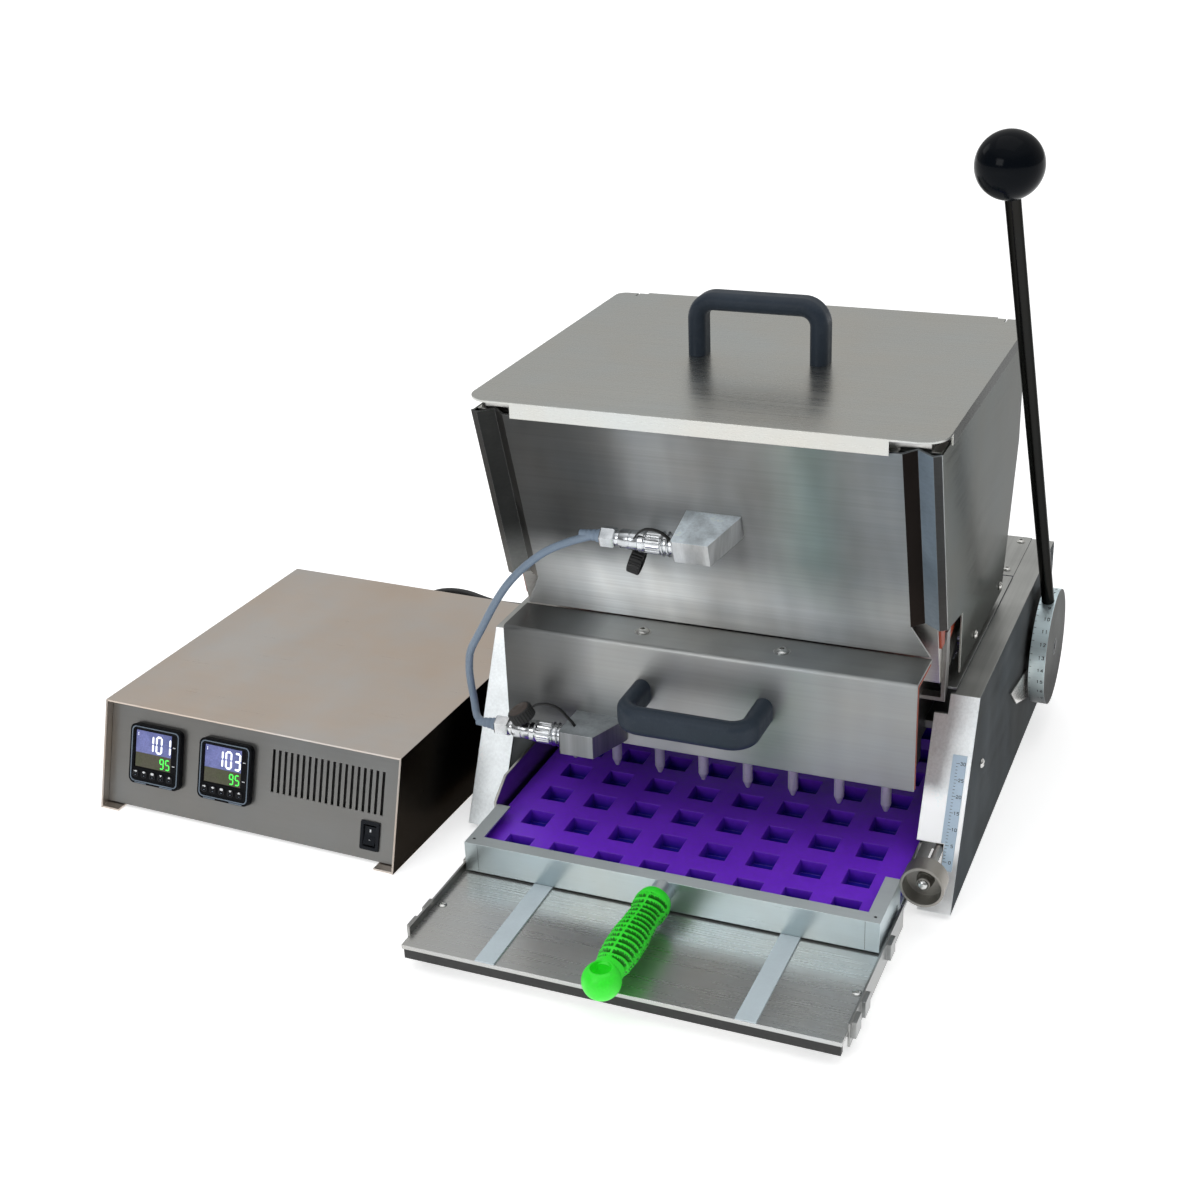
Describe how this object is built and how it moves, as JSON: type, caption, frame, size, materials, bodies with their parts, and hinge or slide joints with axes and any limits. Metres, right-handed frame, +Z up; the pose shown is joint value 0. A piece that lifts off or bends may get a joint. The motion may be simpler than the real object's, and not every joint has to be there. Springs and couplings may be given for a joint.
{
  "type": "food depositor",
  "caption": "Tabletop piston depositor with a heated hopper, lever drive, a nozzle row over a sliding mould tray, and a separate leaning-front control box.",
  "frame": {"origin": "centre of the bounding box in plan, on the table surface under the feet", "axes": "+X to the right seen from the front, +Y to the back, +Z up; the tray handle points to -Y"},
  "size_m": [0.6959, 0.571, 0.5382],
  "materials": {
    "sheet_steel": "brushed stainless sheet",
    "panel_steel": "brushed stainless sheet",
    "hopper_steel": "brushed stainless sheet",
    "lid_steel": "bright stainless sheet",
    "nozzle_cover_steel": "satin stainless sheet",
    "tray_steel": "satin stainless sheet",
    "black_edge": "matt black",
    "slide_plastic": "low-friction white plastic",
    "foot_rubber": "black rubber",
    "fastener_steel": "plated steel",
    "scale_label": "pale blue printed strip",
    "bronze": "sintered bronze",
    "gland_plastic": "black nylon",
    "heater_silicone": "red-brown silicone",
    "block_aluminium": "machined",
    "nozzle_plastic": "pale translucent plastic",
    "handle_plastic": "satin blue-black",
    "connector_block_steel": "satin",
    "connector_metal": "nickel plated",
    "cap_rubber": "black",
    "box_steel": "warm grey brushed",
    "chassis_steel": "plated sheet",
    "controller_plastic": "black",
    "display_window": "dark window",
    "switch_plastic": "black",
    "electric_plastic": "grey moulded",
    "mould_silicone": "deep purple, satin",
    "grip_rubber": "bright green",
    "shaft_steel": "ground steel",
    "disc_aluminium": "turned and engraved",
    "lever_chrome": "dark bright steel",
    "ball_plastic": "high gloss black",
    "piston_plastic": "white engineering plastic",
    "knob_steel": "turned stainless",
    "rocker_plastic": "black",
    "button_plastic": "white",
    "lead_grey": "grey-blue jacket",
    "lead_black": "black jacket"
  },
  "bodies": {
    "chassis": {"base_plate": "sheet_steel", "front_platform": "sheet_steel", "side_rails": "sheet_steel", "platform_edge_trim": "black_edge", "slide_strips": "slide_plastic", "rubber_feet": "foot_rubber", "side_panel_right": "panel_steel", "side_panel_left": "panel_steel", "screws": "fastener_steel", "rear_covers": "sheet_steel", "quantity_scale": "scale_label", "disc_pointer": "sheet_steel", "shaft_bushes": "bronze", "cable_glands": "gland_plastic", "hopper_tank": "sheet_steel", "hopper_front_cover": "hopper_steel", "hopper_shell": "hopper_steel", "heater_mats": "heater_silicone", "metering_block": "block_aluminium", "nozzle_block": "block_aluminium", "nozzles": "nozzle_plastic", "support_brackets": "sheet_steel", "nozzle_cover": "nozzle_cover_steel", "cover_handle": "handle_plastic", "connector_blocks": "connector_block_steel", "connectors": "connector_metal", "dust_caps": "cap_rubber", "box_cover": "box_steel", "box_front_panel": "box_steel", "box_chassis": "chassis_steel", "controller_cases": "controller_plastic", "display_lenses": "display_window", "switch_and_inlet": "switch_plastic", "box_electrics": "electric_plastic", "jumper_lead": "lead_grey", "control_lead": "lead_black"},
    "lid": {"lid_panel": "lid_steel", "lid_handle": "handle_plastic"},
    "tray": {"tray_frame": "tray_steel", "mould": "mould_silicone", "grip_handle": "grip_rubber"},
    "lever": {"drive_shaft": "shaft_steel", "scale_disc": "disc_aluminium", "lever_rod": "lever_chrome", "lever_ball": "ball_plastic"},
    "carriage": {"piston_carriage": "shaft_steel", "pistons": "piston_plastic"},
    "quantity_knob": {"quantity_knob": "knob_steel"},
    "quantity_stop": {"quantity_stop": "bronze"},
    "power_rocker": {"power_rocker": "rocker_plastic"},
    "left_button_1": {"left_button_1": "button_plastic"},
    "left_button_2": {"left_button_2": "button_plastic"},
    "left_button_3": {"left_button_3": "button_plastic"},
    "left_button_4": {"left_button_4": "button_plastic"},
    "left_button_5": {"left_button_5": "button_plastic"},
    "right_button_1": {"right_button_1": "button_plastic"},
    "right_button_2": {"right_button_2": "button_plastic"},
    "right_button_3": {"right_button_3": "button_plastic"},
    "right_button_4": {"right_button_4": "button_plastic"},
    "right_button_5": {"right_button_5": "button_plastic"}
  },
  "joints": [
    {"name": "lid_lift", "type": "slide", "parent": "chassis", "child": "lid", "axis": [0, 0, 1], "range_m": [0, 0.15]},
    {"name": "tray_slide", "type": "slide", "parent": "chassis", "child": "tray", "axis": [0, 1, 0], "range_m": [-0.144, 0.108]},
    {"name": "lever_swing", "type": "hinge", "parent": "chassis", "child": "lever", "pos_m": [0.32754, 0.21349, 0.078], "axis": [-1, 0, 0], "range_deg": [0, 62]},
    {"name": "piston_travel", "type": "slide", "parent": "chassis", "child": "carriage", "axis": [0, 1, 0], "range_m": [0, 0.0175]},
    {"name": "knob_turn", "type": "hinge", "parent": "chassis", "child": "quantity_knob", "pos_m": [0.30284, -0.10451, 0.043], "axis": [0, 1, 0], "range_deg": [0, 720]},
    {"name": "stop_travel", "type": "slide", "parent": "chassis", "child": "quantity_stop", "axis": [0, -1, 0], "range_m": [0, 0.0161]},
    {"name": "rocker_tilt", "type": "hinge", "parent": "chassis", "child": "power_rocker", "pos_m": [-0.10415, -0.14058, 0.01962], "axis": [0.9995, -0.0332, 0], "range_deg": [0, 16]},
    {"name": "left_button_1_press", "type": "slide", "parent": "chassis", "child": "left_button_1", "axis": [0.0316, 0.9537, -0.299], "range_m": [0, 0.001], "stiffness_N_per_m": 300},
    {"name": "left_button_2_press", "type": "slide", "parent": "chassis", "child": "left_button_2", "axis": [0.0316, 0.9537, -0.299], "range_m": [0, 0.001], "stiffness_N_per_m": 300},
    {"name": "left_button_3_press", "type": "slide", "parent": "chassis", "child": "left_button_3", "axis": [0.0316, 0.9537, -0.299], "range_m": [0, 0.001], "stiffness_N_per_m": 300},
    {"name": "left_button_4_press", "type": "slide", "parent": "chassis", "child": "left_button_4", "axis": [0.0316, 0.9537, -0.299], "range_m": [0, 0.001], "stiffness_N_per_m": 300},
    {"name": "left_button_5_press", "type": "slide", "parent": "chassis", "child": "left_button_5", "axis": [0.0316, 0.9537, -0.299], "range_m": [0, 0.001], "stiffness_N_per_m": 300},
    {"name": "right_button_1_press", "type": "slide", "parent": "chassis", "child": "right_button_1", "axis": [0.0316, 0.9537, -0.299], "range_m": [0, 0.001], "stiffness_N_per_m": 300},
    {"name": "right_button_2_press", "type": "slide", "parent": "chassis", "child": "right_button_2", "axis": [0.0316, 0.9537, -0.299], "range_m": [0, 0.001], "stiffness_N_per_m": 300},
    {"name": "right_button_3_press", "type": "slide", "parent": "chassis", "child": "right_button_3", "axis": [0.0316, 0.9537, -0.299], "range_m": [0, 0.001], "stiffness_N_per_m": 300},
    {"name": "right_button_4_press", "type": "slide", "parent": "chassis", "child": "right_button_4", "axis": [0.0316, 0.9537, -0.299], "range_m": [0, 0.001], "stiffness_N_per_m": 300},
    {"name": "right_button_5_press", "type": "slide", "parent": "chassis", "child": "right_button_5", "axis": [0.0316, 0.9537, -0.299], "range_m": [0, 0.001], "stiffness_N_per_m": 300}
  ],
  "couplings": [
    {"joint": "piston_travel", "follows": "lever_swing", "m_per_rad": 0.016},
    {"joint": "stop_travel", "follows": "knob_turn", "m_per_rad": 0.0012732}
  ]
}
